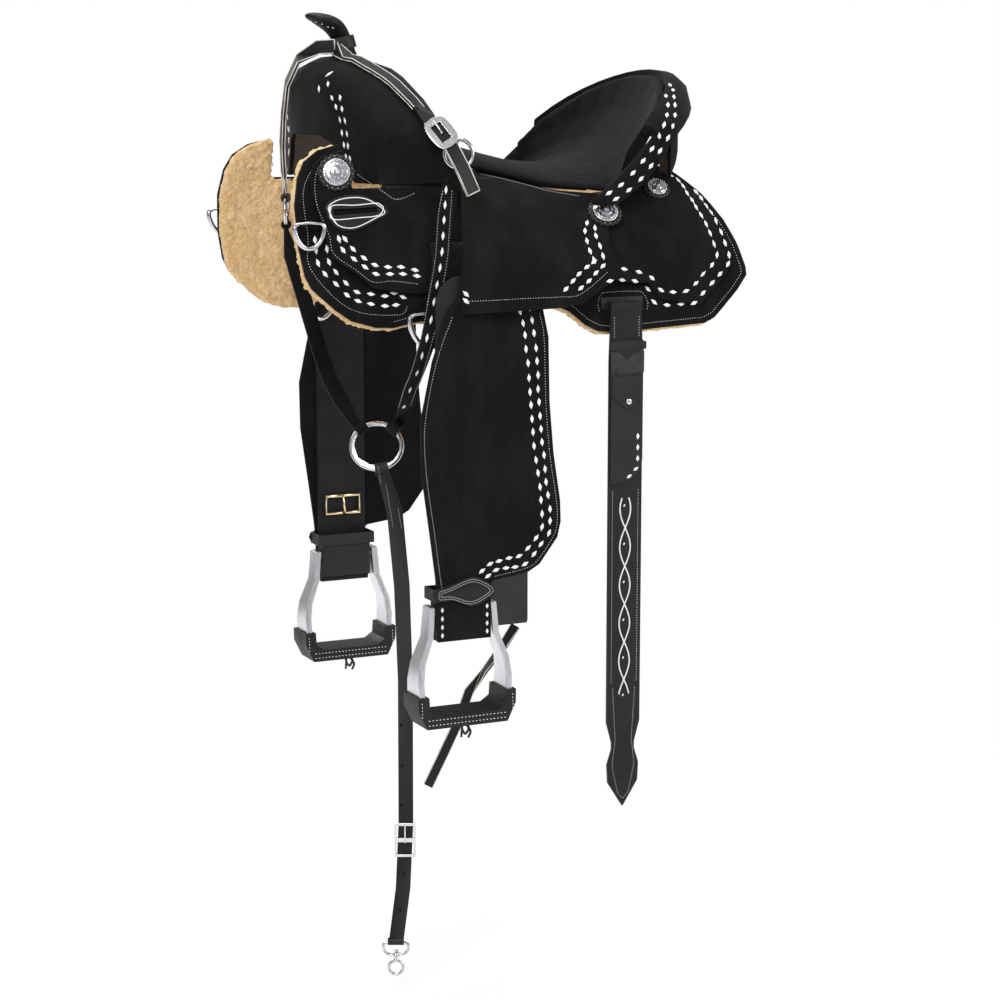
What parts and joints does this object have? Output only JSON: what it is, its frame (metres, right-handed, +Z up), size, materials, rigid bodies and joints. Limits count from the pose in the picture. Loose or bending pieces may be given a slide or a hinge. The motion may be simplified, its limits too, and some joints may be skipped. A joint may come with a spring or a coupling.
{
  "type": "barrel racing saddle",
  "caption": "Western barrel racing saddle with sheepskin lining, hanging fenders and stirrups, rear billets, flank cinch and a breast collar hung from the horn.",
  "frame": {"origin": "on the middle plane, in the channel between the two sides, at the centre of the rack or horse's back that carries the saddle, 58 mm under the top of that channel at the lowest part of the seat", "axes": "-X towards the horse's head, -Y to the near (left) side, +Z up"},
  "size_m": [0.6416, 0.4928, 1.3104],
  "materials": {
    "suede": "black rough-out suede",
    "smooth_leather": "smooth black bridle leather",
    "sheepskin": "tan sheepskin pile",
    "tree_wood": "laminated wood tree",
    "ground_seat_leather": "skirting leather",
    "aluminium": "brushed",
    "nickel": "polished"
  },
  "bodies": {
    "saddle": {"breast_arm_far": "suede", "breast_arm_near": "suede", "cantle_back": "suede", "cantle_roll": "suede", "centre_ring": "nickel", "cinch_dee_far": "nickel", "cinch_dee_near": "nickel", "collar_ring_far": "nickel", "collar_ring_near": "nickel", "concho_front_far": "nickel", "concho_front_near": "nickel", "concho_rear_far": "nickel", "concho_rear_near": "nickel", "concho_seat_far": "nickel", "concho_seat_near": "nickel", "fork_cover": "suede", "front_jockey_far": "suede", "front_jockey_near": "suede", "ground_seat": "ground_seat_leather", "horn_cover": "smooth_leather", "latigo_keeper_far": "smooth_leather", "latigo_keeper_near": "smooth_leather", "rear_jockey_far": "suede", "rear_jockey_near": "suede", "seat_pad": "suede", "sheepskin_far": "sheepskin", "sheepskin_near": "sheepskin", "side_jockey_far": "suede", "side_jockey_near": "suede", "skirt_far": "suede", "skirt_near": "suede", "tree_bar_far": "tree_wood", "tree_bar_near": "tree_wood", "tree_cantle": "tree_wood", "tree_fork": "tree_wood", "tree_horn": "nickel", "wither_buckle_near": "nickel", "wither_strap": "smooth_leather"},
    "fender_near": {"stirrup_leather_near": "smooth_leather", "fender_near": "suede", "hobble_strap_near": "smooth_leather"},
    "stirrup_near": {"stirrup_near": "aluminium", "stirrup_tread_near": "smooth_leather"},
    "front_dee_near": {"front_dee_near": "nickel"},
    "fender_far": {"stirrup_leather_far": "smooth_leather", "fender_far": "suede", "hobble_strap_far": "smooth_leather"},
    "stirrup_far": {"stirrup_far": "aluminium", "stirrup_tread_far": "smooth_leather"},
    "front_dee_far": {"front_dee_far": "nickel"},
    "rear_billet_near": {"rear_billet_near": "smooth_leather", "rear_billet_flap_near": "smooth_leather"},
    "rear_billet_far": {"rear_billet_far": "smooth_leather", "flank_cinch": "smooth_leather", "flank_cinch_buckle": "nickel", "cinch_connector_strap": "smooth_leather"},
    "centre_strap": {"centre_strap": "smooth_leather", "centre_strap_buckle": "nickel"},
    "snap_loop": {"centre_snap_loop": "nickel"},
    "snap_hook": {"centre_snap_hook": "nickel"}
  },
  "joints": [
    {"name": "fender_swing_near", "type": "hinge", "parent": "saddle", "child": "fender_near", "pos_m": [-0.1457, -0.22, -0.075], "axis": [0, 1, 0], "range_deg": [-10, 25]},
    {"name": "stirrup_swing_near", "type": "hinge", "parent": "fender_near", "child": "stirrup_near", "pos_m": [-0.156, -0.2082, -0.479], "axis": [-1, 0, 0], "range_deg": [-15, 60]},
    {"name": "rear_billet_hinge_near", "type": "hinge", "parent": "saddle", "child": "rear_billet_near", "pos_m": [0.081, -0.21106, -0.084], "axis": [-1, 0, 0], "range_deg": [0, 45]},
    {"name": "front_dee_hinge_near", "type": "hinge", "parent": "saddle", "child": "front_dee_near", "pos_m": [-0.346, -0.17026, 0.032], "axis": [-0.9994, 0.0347, 0], "range_deg": [0, 100]},
    {"name": "fender_swing_far", "type": "hinge", "parent": "saddle", "child": "fender_far", "pos_m": [-0.1457, 0.22, -0.075], "axis": [0, 1, 0], "range_deg": [-10, 25]},
    {"name": "stirrup_swing_far", "type": "hinge", "parent": "fender_far", "child": "stirrup_far", "pos_m": [-0.156, 0.2082, -0.479], "axis": [1, 0, 0], "range_deg": [-15, 60]},
    {"name": "rear_billet_hinge_far", "type": "hinge", "parent": "saddle", "child": "rear_billet_far", "pos_m": [0.081, 0.21106, -0.084], "axis": [1, 0, 0], "range_deg": [0, 45]},
    {"name": "front_dee_hinge_far", "type": "hinge", "parent": "saddle", "child": "front_dee_far", "pos_m": [-0.346, 0.17026, 0.032], "axis": [0.9994, 0.0347, 0], "range_deg": [0, 100]},
    {"name": "centre_strap_hinge", "type": "hinge", "parent": "saddle", "child": "centre_strap", "pos_m": [-0.22948, -0.11988, -0.29954], "axis": [0.9061, -0.423, 0], "range_deg": [-2, 12]},
    {"name": "snap_loop_hinge", "type": "hinge", "parent": "centre_strap", "child": "snap_loop", "pos_m": [-0.2165, -0.12594, -0.957], "axis": [0.9061, -0.423, 0], "range_deg": [-40, 40]},
    {"name": "snap_swivel", "type": "hinge", "parent": "snap_loop", "child": "snap_hook", "pos_m": [-0.2165, -0.12594, -0.957], "axis": [0, 0, 1], "continuous": true}
  ]
}
